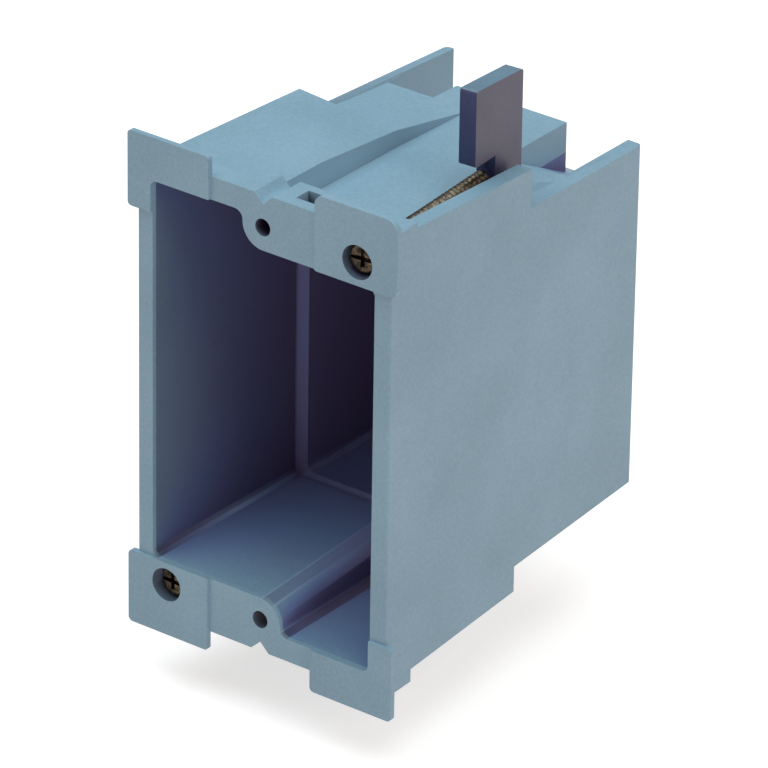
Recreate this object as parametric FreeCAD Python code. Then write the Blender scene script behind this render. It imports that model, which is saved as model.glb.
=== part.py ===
# Single gang old work outlet box with two swing clamps.
# X is to the right, Y is into the wall and Z is up, all in millimetres.
# The origin lies midway between the two device screw holes, on the front plane.
import FreeCAD, Part
import math
import os

os.makedirs("parts", exist_ok=True)

V = FreeCAD.Vector

# Device screw holes
device_hole_spacing = 83.34
device_hole_radius = 1.75
device_hole_depth = 7.6
device_boss_radius = 4.8

# Outer size of the box
front_half_width = 30.0
side_taper = 0.071
depth = 88.3
lip_half_height = 48.5
lip_depth = 8.6
lip_left_depth = 5.0
high_half_height = 45.8
high_depth = 45.3
low_half_height = 40.3
deck_rear_height = 39.4
step_x = 3.4
front_edge_radius = 0.5
rear_edge_radius = 1.2

# Side walls
front_wall = 3.7
guard_wall = 3.4
fin_wall = 1.8
guard_front_height = 47.4
guard_step_height = 43.7
guard_step_depth = 48.2
guard_low_height = 35.6
guard_rear_height = 33.2

# Opening and cavity
opening_high = 43.7
opening_low = 36.9
opening_corner = 1.5
pocket_corner = 1.9
floor_taper = 0.055
shoulder_depth = 40.5
rear_half_width = 20.2
rear_half_height = 33.0
rear_corner = 1.5
rear_wall = 2.8

# Clamp channel and cable ramp
channel_gap = 0.37
channel_left = 5.5
channel_taper = 0.0425
ramp_start_depth = 57.4
ramp_slope = 0.5
ramp_wall = 2.8
deck_depth = 76.5
notch_depth = 68.8
notch_x = 12.3
entry_width = 8.4
entry_length = 11.0
entry_inset = 1.0
room_wall = 2.4
chute_left = 2.7
chute_slope = 0.85

# Ears
ear_proud = 0.6
ear_thickness = 1.2
ear_side_reach = 1.9
ear_top_reach = 4.1
ear_width = 19.4
ear_height = 15.7
ear_corner = 2.0

# Marks and relief in the lip
notch_mark_width = 4.2
notch_mark_depth = 2.1
relief_x = 5.6
relief_width = 6.4
relief_front = 2.8
relief_length = 3.8
relief_depth = 5.0

# Clamp screw
screw_inset = 7.5
screw_lean = 0.075
screw_radius = 1.9
screw_clearance = 0.1
screw_length = 50.4
screw_tip = 1.2
head_radius = 3.1
head_height = 2.4
head_edge = 0.5
head_setback = 1.3
head_clearance = 0.4
head_seat_gap = 0.06
recess_arm = 1.9
recess_width = 0.9
recess_depth = 1.3
slot_width = 0.7
slot_depth = 0.7

# Swing clamp
hub_radius = 3.0
hub_start = 45.0
hub_end = 49.5
stem_start = 42.2
clamp_rear = 51.5
thread_clearance = 0.08
wing_offset = 2.9
wing_thickness = 3.7
wing_foot = 5.8
wing_reach = 21.3
wing_overhang = 7.1
wing_rise = 0.3
wing_fall = 1.3
wing_corner = 0.7

# Derived
screw_x = front_half_width - screw_inset
screw_z = device_hole_spacing / 2.0
channel_floor = screw_z - hub_radius - channel_gap
ear_outer_x = front_half_width + ear_side_reach
ear_outer_z = lip_half_height + ear_top_reach
far = 200.0
clear = 2.0
lean_angle = math.degrees(math.atan(screw_lean))
rear_half = front_half_width - side_taper * depth


def half_width(y):
    # outer half width of the tapered box at a depth
    return front_half_width - side_taper * y


def ramp_height(y):
    # height of the cable ramp at a depth
    return channel_floor - ramp_slope * (y - ramp_start_depth)


def channel_edge(y):
    # left edge of the clamp channel at a depth
    return screw_x - channel_left - channel_taper * (y - lip_depth)


def polygon_face(points):
    return Part.Face(Part.makePolygon(points + [points[0]]))


def prism_x(points, x0, x1):
    # points are (y, z)
    face = polygon_face([V(x0, p[0], p[1]) for p in points])
    return face.extrude(V(x1 - x0, 0, 0))


def prism_y(points, y0, y1):
    # points are (x, z)
    face = polygon_face([V(p[0], y0, p[1]) for p in points])
    return face.extrude(V(0, y1 - y0, 0))


def prism_z(points, z0, z1):
    # points are (x, y)
    face = polygon_face([V(p[0], p[1], z0) for p in points])
    return face.extrude(V(0, 0, z1 - z0))


def block(x0, x1, y0, y1, z0, z1):
    return Part.makeBox(x1 - x0, y1 - y0, z1 - z0, V(x0, y0, z0))


def rod(radius, y0, y1, x, z):
    return Part.makeCylinder(radius, y1 - y0, V(x, y0, z), V(0, 1, 0))


def upright_edges(shape, axis):
    # edges that run along one axis, told by their ends
    found = []
    for edge in shape.Edges:
        if len(edge.Vertexes) != 2:
            continue
        d = edge.Vertexes[1].Point - edge.Vertexes[0].Point
        if abs(abs(d.dot(axis)) - d.Length) < 1e-6:
            found.append(edge)
    return found


def half_turn(shape):
    # the lower half of the box is the upper half turned about the depth axis
    turned = shape.copy()
    turned.rotate(V(0, 0, 0), V(0, 1, 0), 180)
    return turned


def wall_band(sign, inner_front, inner_rear, thickness):
    # plan of a side wall between two depths
    points = [
        (sign * (half_width(inner_front) - thickness), inner_front),
        (sign * (half_width(inner_rear) - thickness), inner_rear),
        (sign * (half_width(inner_rear) + far), inner_rear),
        (sign * (half_width(inner_front) + far), inner_front),
    ]
    return prism_z(points, 0, far)


def outer_plan():
    # tapered plan of the whole box with rounded rear corners
    points = [
        (-front_half_width, 0),
        (front_half_width, 0),
        (rear_half, depth),
        (-rear_half, depth),
    ]
    solid = prism_z(points, 0, far)
    front = [e for e in upright_edges(solid, V(0, 0, 1)) if e.BoundBox.YMax < depth / 2.0]
    solid = solid.makeFillet(front_edge_radius, front)
    rear = [e for e in upright_edges(solid, V(0, 0, 1)) if e.BoundBox.YMin > depth / 2.0]
    return solid.makeFillet(rear_edge_radius, rear)


def left_profile():
    # side profile of the raised part, the sloping deck behind it and the ramp
    return [
        (0, 0),
        (0, high_half_height),
        (high_depth, high_half_height),
        (high_depth, low_half_height),
        (deck_depth, deck_rear_height),
        (deck_depth, ramp_height(deck_depth)),
        (depth, ramp_height(depth)),
        (depth, 0),
    ]


def right_profile():
    return [
        (0, 0),
        (0, low_half_height),
        (high_depth, low_half_height),
        (deck_depth, deck_rear_height),
        (deck_depth, ramp_height(deck_depth)),
        (depth, ramp_height(depth)),
        (depth, 0),
    ]


def fin_profile():
    # left side wall, which stays high beside the ramp
    return [
        (0, 0),
        (0, high_half_height),
        (high_depth, high_half_height),
        (high_depth, low_half_height),
        (depth, low_half_height),
        (depth, 0),
    ]


def guard_profile():
    # right side wall, which guards the clamp channel
    return [
        (0, 0),
        (0, guard_front_height),
        (lip_depth, guard_front_height),
        (guard_step_depth, guard_step_height),
        (guard_step_depth, guard_low_height),
        (depth, guard_rear_height),
        (depth, 0),
    ]


def channel_cut():
    # open channel for the swing clamp, between the deck and the guard wall
    rear = depth + clear
    plan = prism_z(
        [
            (channel_edge(lip_depth), lip_depth),
            (channel_edge(rear), rear),
            (far, rear),
            (far, lip_depth),
        ],
        0,
        far,
    )
    side = prism_x(
        [
            (lip_depth, channel_floor),
            (ramp_start_depth, channel_floor),
            (rear, ramp_height(rear)),
            (rear, far),
            (lip_depth, far),
        ],
        0,
        far,
    )
    return plan.common(side)


def chute_cut():
    # behind the guard's step the channel floor falls towards the outer wall
    left = channel_edge(guard_step_depth) + channel_left - chute_left
    right = left + far
    return prism_y(
        [
            (left, channel_floor),
            (right, channel_floor - chute_slope * (right - left)),
            (right, far),
            (left, far),
        ],
        guard_step_depth,
        far,
    )


def notch_cut():
    # the deck ends earlier beside the left wall
    rear = depth + clear
    return prism_x(
        [
            (notch_depth, ramp_height(notch_depth)),
            (rear, ramp_height(rear)),
            (rear, far),
            (notch_depth, far),
        ],
        -far,
        -notch_x,
    )


def upper_outer():
    solid = prism_x(left_profile(), -far, -step_x)
    solid = solid.fuse(prism_x(right_profile(), -step_x, far))
    solid = solid.cut(notch_cut())
    solid = solid.cut(channel_cut())
    solid = solid.cut(chute_cut())
    left = wall_band(-1, 0, depth, fin_wall).common(prism_x(fin_profile(), -far, 0))
    right = wall_band(1, 0, depth, guard_wall).common(prism_x(guard_profile(), 0, far))
    lip = block(-step_x, far, 0, lip_depth, 0, lip_half_height)
    # beside the raised part the lip is shallower
    lip_left = block(-far, -step_x, 0, lip_left_depth, 0, lip_half_height)
    solid = solid.multiFuse([left, right, lip, lip_left])
    return solid.common(outer_plan())


def rounded_wire(points, y, radii):
    # closed outline in the plane at depth y; points are (x, z) with one corner radius each
    lines = []
    corners = [V(p[0], y, p[1]) for p in points]
    count = len(corners)
    starts = []
    ends = []
    arcs = []
    for i in range(count):
        here = corners[i]
        before = (corners[i - 1] - here).normalize()
        after = (corners[(i + 1) % count] - here).normalize()
        r = radii[i]
        a = here + before * r
        b = here + after * r
        centre = here + before * r + after * r
        middle = centre + (here - centre).normalize() * r
        starts.append(a)
        ends.append(b)
        arcs.append(Part.Arc(a, middle, b).toShape())
    for i in range(count):
        lines.append(arcs[i])
        lines.append(Part.makeLine(ends[i], starts[(i + 1) % count]))
    return Part.Wire(lines)


def cavity_outline(y):
    # both halves of the front cavity's section at a depth
    # its step follows the round boss of the device screw hole
    w = half_width(y) - front_wall
    low = opening_low - floor_taper * max(y, 0)
    inner = -device_boss_radius
    half = [(-w, opening_high), (inner, opening_high), (inner, low), (w, low)]
    points = half + [(-p[0], -p[1]) for p in half]
    return rounded_wire(points, y, [opening_corner, pocket_corner, device_boss_radius, opening_corner] * 2)


def front_cavity():
    outlines = [cavity_outline(y) for y in (-clear, 0.0, shoulder_depth)]
    return Part.makeLoft(outlines, True, True)


def rear_cavity():
    # deeper and narrower room behind the shoulder, under the deck and the ramp
    w = rear_half_width
    h = rear_half_height
    points = [(-w, h), (w, h), (w, -h), (-w, -h)]
    wire = rounded_wire(points, shoulder_depth - clear, [rear_corner] * 4)
    rear = depth - rear_wall
    room = Part.Face(wire).extrude(V(0, rear - shoulder_depth + clear, 0))
    level = ramp_start_depth + (channel_floor - ramp_wall - h) / ramp_slope
    past = rear + clear
    over = prism_x(
        [(level, h), (level, far), (past, far), (past, ramp_height(past) - ramp_wall)],
        -far,
        far,
    )
    room = room.cut(over).cut(half_turn(over))
    deck_room = block(
        -notch_x + room_wall,
        channel_edge(deck_depth) - room_wall,
        level - clear,
        deck_depth - room_wall,
        0,
        h,
    )
    return room.multiFuse([deck_room, half_turn(deck_room)])


def cable_entry():
    # plain window through the ramp behind the notch
    rear = depth - rear_wall - entry_inset
    return block(-notch_x - entry_width, -notch_x, rear - entry_length, rear, 0, far)


def rounded_plate(x0, x1, z0, z1):
    y0 = -ear_proud
    plate = block(x0, x1, y0, y0 + ear_thickness, z0, z1)
    return plate.makeFillet(ear_corner, upright_edges(plate, V(0, 1, 0)))


def screw_axis_turn(shape):
    # tools made along Y at the screw axis are leaned with the tapered wall
    leaned = shape.copy()
    leaned.rotate(V(screw_x, 0, screw_z), V(0, 0, 1), lean_angle)
    return leaned


def clamp_screw_hole():
    seat = head_setback + head_height + head_seat_gap
    cup = rod(head_radius + head_clearance, -clear, seat, screw_x, screw_z)
    hole = rod(screw_radius + screw_clearance, -clear, lip_depth + clear, screw_x, screw_z)
    return screw_axis_turn(cup.fuse(hole))


def upper_lip_cuts():
    top = lip_half_height
    mark = prism_y(
        [
            (-notch_mark_width / 2.0, top),
            (notch_mark_width / 2.0, top),
            (0, top - notch_mark_depth),
        ],
        -clear,
        lip_depth + clear,
    )
    relief = block(
        relief_x,
        relief_x + relief_width,
        relief_front,
        relief_front + relief_length,
        top - relief_depth,
        top + clear,
    )
    hole = rod(device_hole_radius, -clear, device_hole_depth, 0, screw_z)
    return [mark, relief, hole, clamp_screw_hole()]


def make_box_body():
    outer = upper_outer()
    outer = outer.fuse(half_turn(outer)).removeSplitter()
    cavity = front_cavity().fuse(rear_cavity()).removeSplitter()
    ears = []
    low = ear_outer_z - ear_height
    left = rounded_plate(-ear_outer_x, ear_width - ear_outer_x, low, ear_outer_z)
    right = rounded_plate(ear_outer_x - ear_width, ear_outer_x, low, ear_outer_z)
    for ear in (left, right):
        ears.append(ear)
        ears.append(half_turn(ear))
    body = outer.multiFuse(ears)
    body = body.cut(cavity)
    cuts = upper_lip_cuts() + [cable_entry()]
    body = body.cut(Part.makeCompound(cuts + [half_turn(c) for c in cuts]))
    return body.removeSplitter()


def recess_bar(half_x, half_z, deep):
    # bar cut into the head of a clamp screw, centred on its axis
    y0 = head_setback
    return block(
        screw_x - half_x,
        screw_x + half_x,
        y0 - clear,
        y0 + deep,
        screw_z - half_z,
        screw_z + half_z,
    )


def make_clamp_screw():
    y0 = head_setback
    head = rod(head_radius, y0, y0 + head_height, screw_x, screw_z)
    face = [e for e in head.Edges if abs(e.BoundBox.YMax - y0) < 1e-6]
    head = head.makeFillet(head_edge, face)
    shank = rod(screw_radius, y0 + head_edge, y0 + screw_length, screw_x, screw_z)
    tip = [e for e in shank.Edges if abs(e.BoundBox.YMin - y0 - screw_length) < 1e-6]
    shank = shank.makeChamfer(screw_tip, tip)
    screw = head.fuse(shank)
    across = recess_bar(recess_arm, recess_width / 2.0, recess_depth)
    upright = recess_bar(recess_width / 2.0, recess_arm, recess_depth)
    slot = recess_bar(far, slot_width / 2.0, slot_depth)
    screw = screw.cut(across).cut(upright).cut(slot)
    return screw_axis_turn(screw.removeSplitter())


def make_swing_clamp():
    y0 = stem_start
    y1 = clamp_rear
    right = screw_x + wing_offset
    left = right - wing_thickness
    foot = screw_z + wing_foot
    front_top = screw_z + wing_reach + wing_rise
    rear_top = front_top - wing_fall
    hub = rod(hub_radius, hub_start, hub_end, screw_x, screw_z)
    stem = block(left, right, y0, y1, screw_z, foot + wing_corner)
    front = y0 - wing_overhang
    plate = prism_x([(front, foot), (y1, foot), (y1, rear_top), (front, front_top)], left, right)
    plate = plate.makeFillet(wing_corner, upright_edges(plate, V(1, 0, 0)))
    clamp = hub.multiFuse([stem, plate])
    bore = rod(screw_radius + thread_clearance, y0 - clear, y1 + clear, screw_x, screw_z)
    clamp = clamp.cut(bore)
    return screw_axis_turn(clamp.removeSplitter())


def export(shape, name):
    solids = shape.Solids
    if len(solids) != 1:
        raise ValueError("%s has %d solids" % (name, len(solids)))
    solid = solids[0]
    if not solid.isValid():
        raise ValueError("%s is not valid" % name)
    solid.exportStep("parts/%s.step" % name)
    print(name, round(solid.Volume / 1000.0, 2), "cm3", len(solid.Faces), "faces")


box_body = make_box_body()
top_clamp_screw = make_clamp_screw()
top_swing_clamp = make_swing_clamp()

export(box_body, "box_body")
export(top_clamp_screw, "top_clamp_screw")
export(top_swing_clamp, "top_swing_clamp")
export(half_turn(top_clamp_screw), "bottom_clamp_screw")
export(half_turn(top_swing_clamp), "bottom_swing_clamp")
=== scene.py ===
import math

import bmesh
import bpy
from mathutils import Matrix, Vector


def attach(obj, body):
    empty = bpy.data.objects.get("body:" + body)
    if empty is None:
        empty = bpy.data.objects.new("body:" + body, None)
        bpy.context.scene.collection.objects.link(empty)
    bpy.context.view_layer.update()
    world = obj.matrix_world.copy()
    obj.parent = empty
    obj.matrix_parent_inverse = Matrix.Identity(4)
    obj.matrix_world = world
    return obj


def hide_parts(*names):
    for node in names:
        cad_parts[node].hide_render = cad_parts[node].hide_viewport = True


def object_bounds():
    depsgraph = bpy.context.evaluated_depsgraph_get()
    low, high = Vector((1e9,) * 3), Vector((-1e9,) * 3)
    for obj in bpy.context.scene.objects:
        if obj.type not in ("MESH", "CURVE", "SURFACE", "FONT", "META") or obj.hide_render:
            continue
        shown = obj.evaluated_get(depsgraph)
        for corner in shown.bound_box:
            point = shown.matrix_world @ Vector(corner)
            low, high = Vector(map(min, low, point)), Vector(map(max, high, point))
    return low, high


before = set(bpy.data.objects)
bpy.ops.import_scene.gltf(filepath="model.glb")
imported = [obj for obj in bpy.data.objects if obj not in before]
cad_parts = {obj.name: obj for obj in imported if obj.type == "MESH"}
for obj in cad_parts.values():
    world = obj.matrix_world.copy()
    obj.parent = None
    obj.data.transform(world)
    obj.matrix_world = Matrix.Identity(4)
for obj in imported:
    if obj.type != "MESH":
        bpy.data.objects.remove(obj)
CAD_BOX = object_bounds()

bl_info = {
    "name": "Old work outlet box",
    "version": (1, 0, 0),
    "blender": (4, 5, 0),
    "location": "3D View > Sidebar > Outlet box",
    "description": "Dresses a moulded wall box with its clamp screws and swing clamps",
    "category": "Object",
}

MM = 0.001
SIDES = {"top": 1, "bottom": -1}
SHARP = math.radians(28)
SMOOTH = math.radians(35)
FLAT = math.radians(1)
FACING = 0.9
WELD = 0.002 * MM
NEAR = 0.05

# Edges are rounded when they are longer than this, in millimetres
BOX_EDGE_SHORTEST = 1.1
CLAMP_EDGE_SHORTEST = 0.9
EDGE_SEGMENTS = 3

# The box's own sizes, in millimetres, as in the part's source
FRONT_HALF_WIDTH = 30.0
SIDE_TAPER = 0.071
STEP_X = 3.4
HIGH_DEPTH = 45.3
HIGH_HALF_HEIGHT = 45.8
RAISED_FAR_X = 26.78
LIP_DEPTH = 8.6
LIP_LEFT_DEPTH = 5.0
LIP_HALF_HEIGHT = 45.5
EAR_REAR = 0.7
EAR_ARC = 2.0

# Each ear corner that differs from its arc in the part: place across, place in height, radius
EAR_CORNERS = (
    (-31.9, 52.6, 0.8), (-12.5, 52.6, 1.0), (-31.9, 36.9, 0.9),
    (-31.9, -52.6, 1.0), (-12.5, -52.6, 0.5), (-31.9, -36.9, 1.0), (-12.5, -36.9, 0.6),
    (12.5, -52.6, 1.0), (31.9, -52.6, 0.9), (31.9, -36.9, 1.2),
    (31.9, 52.6, 3.0), (12.5, 36.9, 0.6),
)

# The clamp screws, in millimetres
SCREW_X = 22.5
SCREW_Z = 41.67
SCREW_LEAN = 0.075
SCREW_RADIUS = 1.88
SCREW_ROOT = 1.45
HEAD_REAR = 3.7
SHANK_END = 50.4
SHANK_MARGIN = 1.0
THREAD_INSET = 0.9
THREAD_OVERLAP = 1.2
THREAD_STEPS = 24
THREAD_WELD = 0.01

# One turn of the thread: share of its depth, share of its pitch
THREAD_PROFILE = ((0.0, 0.0), (1.0, 0.36), (1.0, 0.52), (0.0, 0.88), (0.0, 1.0))

# Where the raised part runs down beside its step, in millimetres
RAISED_REAR_FROM = 40.0
BEND_DEPTH = 22.0
STEP_FALL = 1.9
STEP_FOOT = 3.6
STEP_RUN = 10.6
RUN_OUT = 22.7
RUN_OUT_X = 12.0
RUN_OUT_HEIGHT = 42.2
DECK_AT_TIP = 39.62

# How far the rooms inside the box reach, in millimetres
ROOM_FRONT = 0.9
REAR_ROOM_START = 43.0
ROOM_HEIGHT = 39.3
RAISED_ROOM_X = 3.9
RAISED_ROOM_EXTRA = 4.7
REAR_ROOM_WIDTH = 21.3
REAR_ROOM_HEIGHT = 33.1
REAR_MIDDLE_WIDTH = 13.8
REAR_MIDDLE_EXTRA = 4.1
SIDE_WALL_FROM = 25.9
SIDE_WALL_TO = 27.2

# Device hole and screw cup: place across, radius, and where both start and end, in millimetres
BORES = ((0.0, 1.8), (22.45, 3.6))
BORE_START = -0.45
BORE_END = 7.7

# How far around a point its shelter is felt, in millimetres
ROOM_REACH = 60.0
CREASE_REACH = 5.0

# How sheltered a wall is where each painted colour is full, and where it ends: painted light on the
# sheltered outside, painted shade in the rooms and deeper in them. Then the painted shade in
# creases, and how strongly shade is painted on the front room's side walls and in the bores
SHELTER_PAINT_RANGES = ((0.56, 0.76), (0.57, 0.67), (0.30, 0.50))
CREASE_SHADE_STOPS = ((0.20, 1.0), (0.38, 0.55), (0.50, 0.12), (0.80, 0.0))
SIDE_WALL_SHADE = 0.44
BORE_SHADE = 0.72

# Tones made from the chosen colours, as multiples of them: painted light on the sheltered outside
# of the box, pale specks of the clamps, and painted shade in the clamps' creases
SHELTERED_PAINTED_LIGHT = 1.35
CLAMP_PALE = 1.3
CLAMP_PAINTED_SHADE = 0.5

# Which faces of a clamp are its front and its ends, which get painted shade and painted light
CLAMP_FACING = 0.8
CLAMP_END_HEIGHT = 55.0


class Wire:
    """A shader socket that takes part in Python arithmetic."""

    def __init__(self, shader, socket):
        self.shader = shader
        self.socket = socket

    def math(self, operation, first, second):
        return self.shader.add("Math", {"operation": operation}, {0: first, 1: second})

    def __add__(self, other):
        return self.math("ADD", self, other)

    def __radd__(self, other):
        return self.math("ADD", other, self)

    def __sub__(self, other):
        return self.math("SUBTRACT", self, other)

    def __rsub__(self, other):
        return self.math("SUBTRACT", other, self)

    def __mul__(self, other):
        return self.math("MULTIPLY", self, other)

    def __rmul__(self, other):
        return self.math("MULTIPLY", other, self)

    def __lt__(self, other):
        return self.math("LESS_THAN", self, other)

    def __gt__(self, other):
        return self.math("GREATER_THAN", self, other)

    def __abs__(self):
        return self.math("ABSOLUTE", self, 0.0)

    def sign(self):
        return self.math("SIGN", self, 0.0)


class Shader:
    """One material's node tree. Every node comes from the add method."""

    def __init__(self, name):
        self.material = bpy.data.materials.new(name)
        self.material.use_nodes = True
        self.tree = self.material.node_tree
        self.tree.nodes.clear()

    def add(self, kind, settings=None, inputs=None, output=0):
        node = self.tree.nodes.new("ShaderNode" + kind)
        for key, value in (settings or {}).items():
            if key == "stops":
                fill_ramp(node.color_ramp, value)
            else:
                setattr(node, key, value)
        for key, value in (inputs or {}).items():
            if isinstance(value, Wire):
                self.tree.links.new(value.socket, node.inputs[key])
            else:
                node.inputs[key].default_value = value
        return Wire(self, node.outputs[output]) if node.outputs else None

    def noise(self, vector, scale, detail=2.0, roughness=0.5):
        inputs = {"Vector": vector, "Scale": scale, "Detail": detail, "Roughness": roughness}
        return self.add("TexNoise", None, inputs, "Fac")

    def ramp(self, value, stops):
        return self.add("ValToRGB", {"stops": stops}, {"Fac": value}, "Color")

    def shelter(self, distance):
        """1 in the open, falling to 0 where the piece's own walls close in."""
        settings = {"samples": 8, "only_local": True}
        return self.add("AmbientOcclusion", settings, {"Distance": distance}, "AO")

    def axes(self, vector):
        return (self.add("SeparateXYZ", None, {"Vector": vector}, axis) for axis in "XYZ")

    def mix(self, factor, first, second):
        settings = {"data_type": "RGBA", "blend_type": "MIX"}
        return self.add("Mix", settings, {0: factor, 6: first, 7: second}, 2)

    def finish(self, inputs):
        self.add("OutputMaterial", None, {"Surface": self.add("BsdfPrincipled", None, inputs)})
        return self.material


def fill_ramp(ramp, stops):
    while len(ramp.elements) < len(stops):
        ramp.elements.new(0.5)
    for element, (position, level) in zip(ramp.elements, stops):
        element.position = position
        element.color = (level, level, level, 1.0)


def opaque(colour):
    return (colour[0], colour[1], colour[2], 1.0)


def take(piece):
    """Select one piece and nothing else, in object mode."""
    if bpy.context.object and bpy.context.object.mode != "OBJECT":
        bpy.ops.object.mode_set(mode="OBJECT")
    bpy.ops.object.select_all(action="DESELECT")
    piece.select_set(True)
    bpy.context.view_layer.objects.active = piece


def new_piece(name):
    piece = bpy.context.object
    piece.name = name
    piece.data.name = name
    return piece


def edit(piece, select="SELECT"):
    take(piece)
    bpy.ops.object.mode_set(mode="EDIT")
    bpy.ops.mesh.select_all(action=select)


def object_mode():
    bpy.ops.object.mode_set(mode="OBJECT")


def apply_modifier(piece, kind, name, **settings):
    take(piece)
    modifier = piece.modifiers.new(name, kind)
    for key, value in settings.items():
        setattr(modifier, key, value)
    bpy.ops.object.modifier_apply(modifier=name)


def shade(piece):
    take(piece)
    bpy.ops.object.shade_smooth_by_angle(angle=SMOOTH)


def weld_all():
    """Drop doubled points and empty faces of the piece that is being edited."""
    bpy.ops.mesh.select_all(action="SELECT")
    bpy.ops.mesh.remove_doubles(threshold=WELD)
    bpy.ops.mesh.dissolve_degenerate(threshold=WELD)
    object_mode()


def merged_copy(node):
    """A copy of a CAD node with its triangles joined into whole faces."""
    take(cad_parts[node])
    bpy.ops.object.duplicate()
    copy = new_piece(node + "_moulded")
    edit(copy)
    bpy.ops.mesh.remove_doubles(threshold=WELD)
    bpy.ops.mesh.dissolve_limited(angle_limit=FLAT)
    object_mode()
    return copy


def select_corners(piece, wanted):
    """Select the points of a piece that pass a test, in edit mode."""
    edit(piece, "DESELECT")
    bpy.ops.mesh.select_mode(type="VERT")
    shape = bmesh.from_edit_mesh(piece.data)
    for corner in shape.verts:
        corner.select_set(bool(wanted(corner.co / MM)))
    shape.select_flush_mode()
    bmesh.update_edit_mesh(piece.data)


def select_faces(piece, wanted):
    """Select the faces of a piece whose middle and normal pass a test, in edit mode."""
    edit(piece, "DESELECT")
    bpy.ops.mesh.select_mode(type="FACE")
    shape = bmesh.from_edit_mesh(piece.data)
    for face in shape.faces:
        face.select_set(bool(wanted(face.calc_center_median() / MM, face.normal)))
    bmesh.update_edit_mesh(piece.data)


def near(point, place, reach=NEAR):
    return (point - Vector(place)).length < reach


def trim_ear_corners(body):
    """Give each ear corner its own radius, by scaling its arc about the corner."""
    slack = 0.02
    for x, z, radius in EAR_CORNERS:
        beside_rim = abs(x) > FRONT_HALF_WIDTH and abs(z) < SCREW_Z

        def on_arc(p):
            if beside_rim and abs(p.x) < FRONT_HALF_WIDTH + slack:
                return False
            return p.y < EAR_REAR and max(abs(p.x - x), abs(p.z - z)) < EAR_ARC + slack

        select_corners(body, on_arc)
        size = radius / EAR_ARC
        corner = (x * MM, 0.0, z * MM)
        bpy.ops.transform.resize(value=(size, 1.0, size), center_override=corner)
        object_mode()


def deepen_lower_lip(body):
    """Make the lip as deep below the raised corner as beside it."""
    slack = 0.02

    def lip_rear(p):
        below = p.z < -LIP_HALF_HEIGHT
        return below and p.x > STEP_X - slack and abs(p.y - LIP_LEFT_DEPTH) < slack

    select_corners(body, lip_rear)
    bpy.ops.transform.translate(value=(0.0, (LIP_DEPTH - LIP_LEFT_DEPTH) * MM, 0.0))
    weld_all()


def lower_raised_corner(body, turn):
    """Let the raised part run down into the deck beside its step."""
    def at(x, y, z):
        return Vector((turn * x, y, turn * z))

    def roof(middle, normal):
        return turn * normal.z > FACING and abs(turn * middle.z - HIGH_HALF_HEIGHT) < NEAR

    def rear(middle, normal):
        at_rear = normal.y > FACING and abs(middle.y - HIGH_DEPTH) < NEAR
        return at_rear and turn * middle.x < 0 and turn * middle.z > RAISED_REAR_FROM

    def rear_foot(middle, normal):
        low = turn * middle.x > -RUN_OUT_X and turn * middle.z < RUN_OUT_HEIGHT
        return low and rear(middle, normal)

    top = at(-STEP_X, HIGH_DEPTH, HIGH_HALF_HEIGHT)
    back = at(-RAISED_FAR_X, HIGH_DEPTH, HIGH_HALF_HEIGHT)
    bend = at(-STEP_X, BEND_DEPTH, HIGH_HALF_HEIGHT)
    foot = at(-STEP_X, HIGH_DEPTH, HIGH_HALF_HEIGHT - STEP_FALL)
    tip = at(-STEP_X, HIGH_DEPTH + RUN_OUT, DECK_AT_TIP)

    select_faces(body, roof)
    bpy.ops.mesh.bisect(plane_co=bend * MM, plane_no=(0.0, 1.0, 0.0))
    select_corners(body, lambda p: near(p, bend) or near(p, back, reach=0.3))
    bpy.ops.mesh.vert_connect_path()
    select_corners(body, lambda p: near(p, top))
    bpy.ops.transform.translate(value=(0.0, 0.0, -turn * STEP_FALL * MM))

    select_faces(body, rear)
    bpy.ops.mesh.bisect(plane_co=foot * MM, plane_no=at(-STEP_FOOT, 0.0, STEP_RUN))
    select_faces(body, rear_foot)
    outward = (0.0, RUN_OUT * MM, 0.0)
    bpy.ops.mesh.extrude_region_move(TRANSFORM_OT_translate={"value": outward})
    bpy.ops.transform.resize(value=(0.0, 1.0, 0.0), center_override=tip * MM)
    weld_all()


def soften(piece, radius, shortest):
    """Round the sharp convex edges of a piece that are longer than a length."""
    edit(piece, "DESELECT")
    shape = bmesh.from_edit_mesh(piece.data)
    for edge in shape.edges:
        convex = len(edge.link_faces) == 2 and edge.is_convex
        if convex and edge.calc_face_angle() > SHARP and edge.calc_length() > shortest:
            edge.select_set(True)
    bmesh.update_edit_mesh(piece.data)
    bpy.ops.mesh.bevel(
        offset=radius, offset_type="OFFSET", segments=EDGE_SEGMENTS, clamp_overlap=True)
    object_mode()


def threaded_rod(name, radius, root, pitch, length):
    """A rod along +Y from the origin with a real thread, closed at both ends."""
    bpy.ops.mesh.primitive_plane_add(size=1.0)
    rod = new_piece(name)
    edit(rod)
    bpy.ops.mesh.delete(type="VERT")
    shape = bmesh.from_edit_mesh(rod.data)
    corners = [
        shape.verts.new((root + crest * (radius - root), along * pitch, 0.0))
        for crest, along in THREAD_PROFILE
    ]
    for first, second in zip(corners, corners[1:]):
        shape.edges.new((first, second))
    bmesh.update_edit_mesh(rod.data)
    object_mode()
    apply_modifier(
        rod, "SCREW", "thread", axis="Y", angle=math.tau, screw_offset=pitch,
        iterations=int(length / pitch), steps=THREAD_STEPS, render_steps=THREAD_STEPS,
        use_merge_vertices=True, merge_threshold=THREAD_WELD * MM)
    edit(rod)
    bpy.ops.mesh.remove_doubles(threshold=THREAD_WELD * MM)
    bpy.ops.mesh.fill_holes(sides=0)
    bpy.ops.mesh.normals_make_consistent(inside=False)
    object_mode()
    return rod


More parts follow.
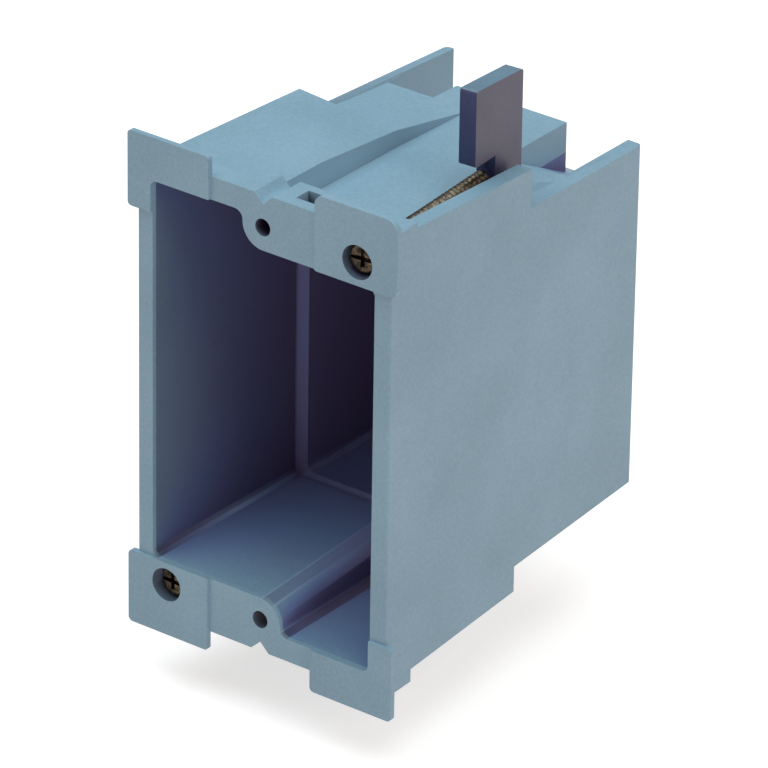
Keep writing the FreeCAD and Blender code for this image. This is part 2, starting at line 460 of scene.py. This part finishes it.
def thread_screw(screw, turn, pitch):
    """Replace the smooth shank between a screw's head and its tip with a threaded one."""
    def shank(middle, normal):
        return HEAD_REAR + SHANK_MARGIN < middle.y < SHANK_END - SHANK_MARGIN

    select_faces(screw, shank)
    bpy.ops.mesh.delete(type="FACE")
    object_mode()
    length = (SHANK_END - HEAD_REAR + THREAD_OVERLAP) * MM
    rod = threaded_rod("thread", SCREW_RADIUS * MM, SCREW_ROOT * MM, pitch, length)
    lean = Vector((-turn * SCREW_LEAN, 1.0, 0.0)).normalized()
    axis = Vector((turn * SCREW_X, 0.0, turn * SCREW_Z))
    rod.location = (axis + lean * (HEAD_REAR - THREAD_INSET)) * MM
    rod.rotation_euler = (0.0, 0.0, turn * math.atan(SCREW_LEAN))
    place_in_mesh(rod)
    take(screw)
    rod.select_set(True)
    bpy.ops.object.join()


def place_in_mesh(piece):
    take(piece)
    bpy.ops.object.transform_apply(location=True, rotation=True, scale=True)


def wear(piece, material):
    piece.data.materials.clear()
    piece.data.materials.append(material)


def paint(piece, material, wanted):
    """Give a second material to the faces whose middle and normal pass a test."""
    piece.data.materials.append(material)
    select_faces(piece, wanted)
    piece.active_material_index = len(piece.data.materials) - 1
    bpy.ops.object.material_slot_assign()
    object_mode()


def inner_rooms(shader, place):
    """Two masks that steer painted shade and light: 1 inside the box's rooms, and 1 on the side
    walls of the front room.

    How high the rooms reach differs across the box and behind its shoulder.
    """
    x, y, z = shader.axes(place)
    across = x * z.sign()
    aside = abs(x)
    rear = y > REAR_ROOM_START * MM
    raised = across < -RAISED_ROOM_X * MM
    room = aside < REAR_ROOM_WIDTH * MM
    middle = aside < REAR_MIDDLE_WIDTH * MM
    height = (1.0 - rear) * (ROOM_HEIGHT + RAISED_ROOM_EXTRA * raised)
    height = (height + rear * (REAR_ROOM_HEIGHT * room + REAR_MIDDLE_EXTRA * middle)) * MM
    inside = (abs(z) < height) * (y > ROOM_FRONT * MM)
    flare = aside + y * SIDE_TAPER
    side_wall = (flare > SIDE_WALL_FROM * MM) * (flare < SIDE_WALL_TO * MM)
    return inside, inside * side_wall


def bores(shader, place):
    """1 on the walls of the device holes and of the screws' cups, 0 elsewhere; shade is painted
    there.
    """
    x, y, z = shader.axes(place)
    across = shader.add("CombineXYZ", None, {"X": x * z.sign(), "Z": abs(z)})
    found = 0.0
    for centre, radius in BORES:
        ends = {0: across, 1: (centre * MM, 0.0, SCREW_Z * MM)}
        apart = shader.add("VectorMath", {"operation": "DISTANCE"}, ends, "Value")
        found = found + (apart < radius * MM)
    return found * (y > BORE_START * MM) * (y < BORE_END * MM)


def moulded_plastic(name, colour, pale, deep, grain, gloss, painted_colours=()):
    """Moulded plastic: cloudy pigment, fine grain and soft scuffs, with painted shade in its
    creases.

    When given, the painted colours are painted light on the sheltered outside and painted shade in
    the rooms and the depth of the rooms; shade is then also painted on the front room's side walls
    and in the bores.
    """
    shader = Shader(name)
    place = shader.add("TexCoord", None, None, "Object")
    cloud = shader.noise(place, 45.0, 3.0)
    speck = shader.noise(place, 1500.0, 3.0, 0.65)
    scuff = shader.noise(place, 260.0, 4.0, 0.7)
    tint = shader.ramp(cloud * 0.45 + speck * 0.55, [(0.34, 0.0), (0.66, 1.0)])
    base = shader.mix(tint, opaque(colour), opaque(pale))
    if painted_colours:
        # Painted light on the sheltered outside and painted shade in the rooms and deeper in them,
        # by how sheltered each point is
        inside, side_wall = inner_rooms(shader, place)
        shelter = shader.shelter(ROOM_REACH * MM)
        parts = (1.0 - inside, inside, inside)
        for tone, part, (closed, opened) in zip(painted_colours, parts, SHELTER_PAINT_RANGES):
            amount = part * shader.ramp(shelter, [(closed, 1.0), (opened, 0.0)])
            base = shader.mix(amount, base, opaque(tone))
        # Painted shade on the front room's side walls, and in the device holes and screw cups
        base = shader.mix(side_wall * SIDE_WALL_SHADE, base, opaque(deep))
        base = shader.mix(bores(shader, place) * BORE_SHADE, base, opaque(deep))
    # Painted shade in every crease, darker the more sheltered it is
    painted_crease_shade = shader.ramp(shader.shelter(CREASE_REACH * MM), CREASE_SHADE_STOPS)
    base = shader.mix(painted_crease_shade, base, opaque(deep))
    rough = gloss + scuff * 0.12 + speck * 0.10
    height = shader.noise(place, 2600.0, 2.0, 0.6) * 0.6 + cloud * 0.4
    bump = shader.add("Bump", None, {"Strength": grain, "Distance": 0.1 * MM, "Height": height})
    return shader.finish({"Base Color": base, "Roughness": rough, "Normal": bump, "IOR": 1.5})


def plated_steel(name, colour, dull):
    """Steel with a thin yellow plating, brighter where it is rubbed."""
    shader = Shader(name)
    place = shader.add("TexCoord", None, None, "Object")
    patch = shader.noise(place, 1800.0, 3.0, 0.6)
    streak = shader.noise(place, 3500.0, 2.0, 0.6)
    base = shader.mix(shader.ramp(patch, [(0.30, 0.0), (0.66, 1.0)]), opaque(colour), opaque(dull))
    rough = 0.24 + patch * 0.22 + streak * 0.1
    bump = shader.add("Bump", None, {"Strength": 0.15, "Distance": 0.05 * MM, "Height": streak})
    return shader.finish({"Base Color": base, "Metallic": 1.0, "Roughness": rough, "Normal": bump})


class OutletBoxColours(bpy.types.PropertyGroup):
    box: bpy.props.FloatVectorProperty(
        name="Box", description="Pigment of the moulded box", subtype="COLOR",
        default=(0.150, 0.232, 0.293), min=0.0, max=1.0)
    box_pale: bpy.props.FloatVectorProperty(
        name="Box, pale", description="Pale specks in the box's pigment", subtype="COLOR",
        default=(0.205, 0.302, 0.372), min=0.0, max=1.0)
    # Painted shade in the holes and creases of the box
    box_painted_shade: bpy.props.FloatVectorProperty(
        name="Box, creases", description="Pigment of the box in its holes and creases",
        subtype="COLOR", default=(0.030, 0.014, 0.040), min=0.0, max=1.0)
    # Painted shade on the sheltered walls inside the box
    room: bpy.props.FloatVectorProperty(
        name="Room", description="Pigment on the sheltered walls inside the box", subtype="COLOR",
        default=(0.140, 0.195, 0.400), min=0.0, max=1.0)
    # Painted shade deep inside the box
    room_deep_painted_shade: bpy.props.FloatVectorProperty(
        name="Room, deep", description="Pigment deep inside the box", subtype="COLOR",
        default=(0.150, 0.112, 0.230), min=0.0, max=1.0)
    clamp: bpy.props.FloatVectorProperty(
        name="Clamp", description="Pigment of the swing clamps", subtype="COLOR",
        default=(0.042, 0.034, 0.062), min=0.0, max=1.0)
    clamp_pale: bpy.props.FloatVectorProperty(
        name="Clamp, pale", description="Pale specks in the clamps' pigment", subtype="COLOR",
        default=(0.070, 0.056, 0.094), min=0.0, max=1.0)
    # Painted shade on the fronts of the swing clamps
    clamp_front: bpy.props.FloatVectorProperty(
        name="Clamp, front", description="Pigment on the front of the swing clamps",
        subtype="COLOR", default=(0.038, 0.040, 0.105), min=0.0, max=1.0)
    # Painted light on the ends of the swing clamps
    clamp_end: bpy.props.FloatVectorProperty(
        name="Clamp, end", description="Pigment on the ends of the swing clamps", subtype="COLOR",
        default=(0.088, 0.140, 0.185), min=0.0, max=1.0)
    screw: bpy.props.FloatVectorProperty(
        name="Screw", description="Bright plating of the screws", subtype="COLOR",
        default=(0.20, 0.14, 0.08), min=0.0, max=1.0)
    screw_dull: bpy.props.FloatVectorProperty(
        name="Screw, dull", description="Dull plating of the screws", subtype="COLOR",
        default=(0.034, 0.026, 0.032), min=0.0, max=1.0)


class OutletBoxSizes(bpy.types.PropertyGroup):
    soft_edge: bpy.props.FloatProperty(
        name="Soft edge", description="Radius of the moulded edges", unit="LENGTH",
        default=0.35 * MM, min=0.0)
    pitch: bpy.props.FloatProperty(
        name="Pitch", description="Pitch of the clamp screws' thread", unit="LENGTH",
        default=1.3 * MM, min=0.5 * MM)
    clamp_edge: bpy.props.FloatProperty(
        name="Clamp edge", description="Radius of the swing clamps' edges", unit="LENGTH",
        default=0.3 * MM, min=0.0)


class OutletBoxStage(bpy.types.PropertyGroup):
    key: bpy.props.FloatProperty(
        name="Key light", description="Power of the large overhead light", default=25.0, min=0.0)
    side: bpy.props.FloatProperty(
        name="Side light", description="Power of the light on the right", default=4.3, min=0.0)
    sky: bpy.props.FloatProperty(
        name="Fill", description="Strength of the even light from all round", default=0.35, min=0.0)


class OUTLETBOX_OT_body(bpy.types.Operator):
    """Give the moulded box its soft edges and its plastic, with painted shade in its rooms, holes
    and creases and painted light on its sheltered outside
    """

    bl_idname = "outletbox.body"
    bl_label = "Box body"

    def execute(self, context):
        colours = context.scene.outletbox_colours
        # Painted light on the sheltered outside, painted shade in the rooms and deeper in them
        rooms = (colours.box_pale * SHELTERED_PAINTED_LIGHT, colours.room, colours.room_deep_painted_shade)
        finish = moulded_plastic(
            "grey_blue_pvc", colours.box, colours.box_pale, colours.box_painted_shade, 0.35, 0.40, rooms)
        body = merged_copy("box_body")
        trim_ear_corners(body)
        deepen_lower_lip(body)
        for turn in SIDES.values():
            lower_raised_corner(body, turn)
        soften(body, context.scene.outletbox_sizes.soft_edge, BOX_EDGE_SHORTEST * MM)
        shade(body)
        apply_modifier(
            body, "WEIGHTED_NORMAL", "flat_faces_stay_flat", weight=100, keep_sharp=True)
        wear(body, finish)
        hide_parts("box_body")
        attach(body, "box")
        return {"FINISHED"}


def clamp_front(middle, normal):
    return normal.y < -CLAMP_FACING


def clamp_end(middle, normal):
    return abs(normal.z) > CLAMP_FACING and abs(middle.z) > CLAMP_END_HEIGHT


class OUTLETBOX_OT_clamps(bpy.types.Operator):
    """Give the swing clamps their darker plastic, with painted shade on their fronts and in their
    creases and painted light on their ends
    """

    bl_idname = "outletbox.clamps"
    bl_label = "Swing clamps"

    def execute(self, context):
        colours = context.scene.outletbox_colours
        # Lit and shaded copies of one plastic: painted shade on the fronts, painted light on the
        # ends
        lit_and_shaded_pigments = {
            "clamp_sides": (colours.clamp, colours.clamp_pale),
            "clamp_front": (colours.clamp_front, colours.clamp_front * CLAMP_PALE),
            "clamp_end": (colours.clamp_end, colours.clamp_end * CLAMP_PALE),
        }
        # Painted shade in the clamps' creases
        painted_crease_shade = colours.clamp * CLAMP_PAINTED_SHADE
        plastics = [
            moulded_plastic(name, *pair, painted_crease_shade, 0.3, 0.34) for name, pair in lit_and_shaded_pigments.items()
        ]
        for side in SIDES:
            node = side + "_swing_clamp"
            clamp = merged_copy(node)
            soften(clamp, context.scene.outletbox_sizes.clamp_edge, CLAMP_EDGE_SHORTEST * MM)
            shade(clamp)
            wear(clamp, plastics[0])
            paint(clamp, plastics[1], clamp_front)
            paint(clamp, plastics[2], clamp_end)
            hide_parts(node)
            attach(clamp, side + "_clamp")
        return {"FINISHED"}


class OUTLETBOX_OT_screws(bpy.types.Operator):
    """Give the clamp screws their plating"""

    bl_idname = "outletbox.screws"
    bl_label = "Clamp screws"

    def execute(self, context):
        colours = context.scene.outletbox_colours
        finish = plated_steel("yellow_plated_steel", colours.screw, colours.screw_dull)
        for side, turn in SIDES.items():
            node = side + "_clamp_screw"
            screw = merged_copy(node)
            thread_screw(screw, turn, context.scene.outletbox_sizes.pitch)
            shade(screw)
            wear(screw, finish)
            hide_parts(node)
            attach(screw, side + "_screw")
        return {"FINISHED"}


# The camera, solved from the photo
VIEW_AZIMUTH = math.radians(36.987)
VIEW_ELEVATION = math.radians(27.359)
VIEW_ROLL = math.radians(0.897)
VIEW_RIGHT = 23.076 * MM
VIEW_UP = 7.958 * MM
VIEW_DISTANCE = 1370.261 * MM
FOCAL_LENGTH_PX = 7279.315
FRAME_PX = 768
SENSOR_MM = 36.0

# The stage, in metres
FLOOR_SIZE = 12.0
FLOOR_GAP = 0.2 * MM
FLOOR_TONES = ((0.52, 0.46, 0.44), (0.56, 0.50, 0.48))
FLOOR_GLOW = (1.0, 0.98, 0.96)
FLOOR_GLOW_STRENGTH = 0.62
LIGHT_TARGET = (0.0, 0.04, 0.0)

# Each light: place, size, colour
LIGHTS = {
    "key": ((-0.12, 0.0, 1.3), 1.6, (0.72, 0.93, 1.0)),
    "side": ((1.1, -0.15, 0.85), 0.8, (1.0, 0.97, 0.94)),
}


def view_axes():
    """Right, up and forward of the camera, from its angles."""
    forward = Vector((
        -math.sin(VIEW_AZIMUTH) * math.cos(VIEW_ELEVATION),
        math.cos(VIEW_AZIMUTH) * math.cos(VIEW_ELEVATION),
        -math.sin(VIEW_ELEVATION),
    ))
    level = forward.cross(Vector((0, 0, 1))).normalized()
    upright = level.cross(forward)
    along, over = math.cos(VIEW_ROLL), math.sin(VIEW_ROLL)
    return along * level + over * upright, along * upright - over * level, forward


def add_camera():
    right, up, forward = view_axes()
    place = VIEW_RIGHT * right + VIEW_UP * up - VIEW_DISTANCE * forward
    bpy.ops.object.camera_add()
    camera = bpy.context.object
    camera.name = "photo_camera"
    turn = Matrix((right, up, -forward)).transposed().to_4x4()
    camera.matrix_world = Matrix.Translation(place) @ turn
    camera.data.sensor_width = SENSOR_MM
    camera.data.lens = SENSOR_MM * FOCAL_LENGTH_PX / FRAME_PX
    camera.data.clip_start = 0.05
    camera.data.clip_end = 50.0
    bpy.context.scene.camera = camera


def add_area_light(name, place, size, power, colour):
    bpy.ops.object.light_add(type="AREA", location=place)
    light = bpy.context.object
    light.name = name
    aim = Vector(LIGHT_TARGET) - Vector(place)
    light.rotation_euler = aim.to_track_quat("-Z", "Y").to_euler()
    light.data.shape = "SQUARE"
    light.data.size = size
    light.data.energy = power
    light.data.color = colour


def add_floor(height):
    bpy.ops.mesh.primitive_plane_add(size=FLOOR_SIZE, location=(0, 0, height))
    floor = new_piece("floor")
    place_in_mesh(floor)
    shader = Shader("white_paper")
    place = shader.add("TexCoord", None, None, "Object")
    grain = shader.noise(place, 30.0, 3.0)
    base = shader.mix(grain, *(opaque(tone) for tone in FLOOR_TONES))
    glow = {"Emission Color": opaque(FLOOR_GLOW), "Emission Strength": FLOOR_GLOW_STRENGTH}
    wear(floor, shader.finish({"Base Color": base, "Roughness": 0.9, **glow}))


class OUTLETBOX_OT_stage(bpy.types.Operator):
    """Add the floor, the lights and the camera"""

    bl_idname = "outletbox.stage"
    bl_label = "Stage"

    def execute(self, context):
        settings = context.scene.outletbox_stage
        add_floor(CAD_BOX[0][2] - FLOOR_GAP)
        add_camera()
        for name, (place, size, colour) in LIGHTS.items():
            add_area_light(name, place, size, getattr(settings, name), colour)
        world = bpy.data.worlds.new("even_light")
        world.use_nodes = True
        background = world.node_tree.nodes["Background"]
        background.inputs["Color"].default_value = (1.0, 1.0, 1.0, 1.0)
        background.inputs["Strength"].default_value = settings.sky
        context.scene.world = world
        context.scene.view_settings.view_transform = "Standard"
        return {"FINISHED"}


class OUTLETBOX_PT_panel(bpy.types.Panel):
    """Sizes, colours and steps of the outlet box"""

    bl_idname = "OUTLETBOX_PT_panel"
    bl_label = "Outlet box"
    bl_space_type = "VIEW_3D"
    bl_region_type = "UI"
    bl_category = "Outlet box"

    def draw(self, context):
        scene = context.scene
        for group in (scene.outletbox_sizes, scene.outletbox_colours, scene.outletbox_stage):
            column = self.layout.column(align=True)
            for name in group.__annotations__:
                column.prop(group, name)
        for operator in OPERATORS:
            self.layout.operator(operator.bl_idname)


OPERATORS = (
    OUTLETBOX_OT_body,
    OUTLETBOX_OT_clamps,
    OUTLETBOX_OT_screws,
    OUTLETBOX_OT_stage,
)
GROUPS = {
    "outletbox_colours": OutletBoxColours,
    "outletbox_sizes": OutletBoxSizes,
    "outletbox_stage": OutletBoxStage,
}


def register():
    for group in GROUPS.values():
        bpy.utils.register_class(group)
    for name, group in GROUPS.items():
        setattr(bpy.types.Scene, name, bpy.props.PointerProperty(type=group))
    for operator in OPERATORS:
        bpy.utils.register_class(operator)
    bpy.utils.register_class(OUTLETBOX_PT_panel)


def unregister():
    bpy.utils.unregister_class(OUTLETBOX_PT_panel)
    for operator in reversed(OPERATORS):
        bpy.utils.unregister_class(operator)
    for name in GROUPS:
        delattr(bpy.types.Scene, name)
    for group in reversed(GROUPS.values()):
        bpy.utils.unregister_class(group)


def main():
    register()
    bpy.ops.outletbox.body()
    bpy.ops.outletbox.clamps()
    bpy.ops.outletbox.screws()
    bpy.ops.outletbox.stage()


if __name__ == "__main__":
    main()
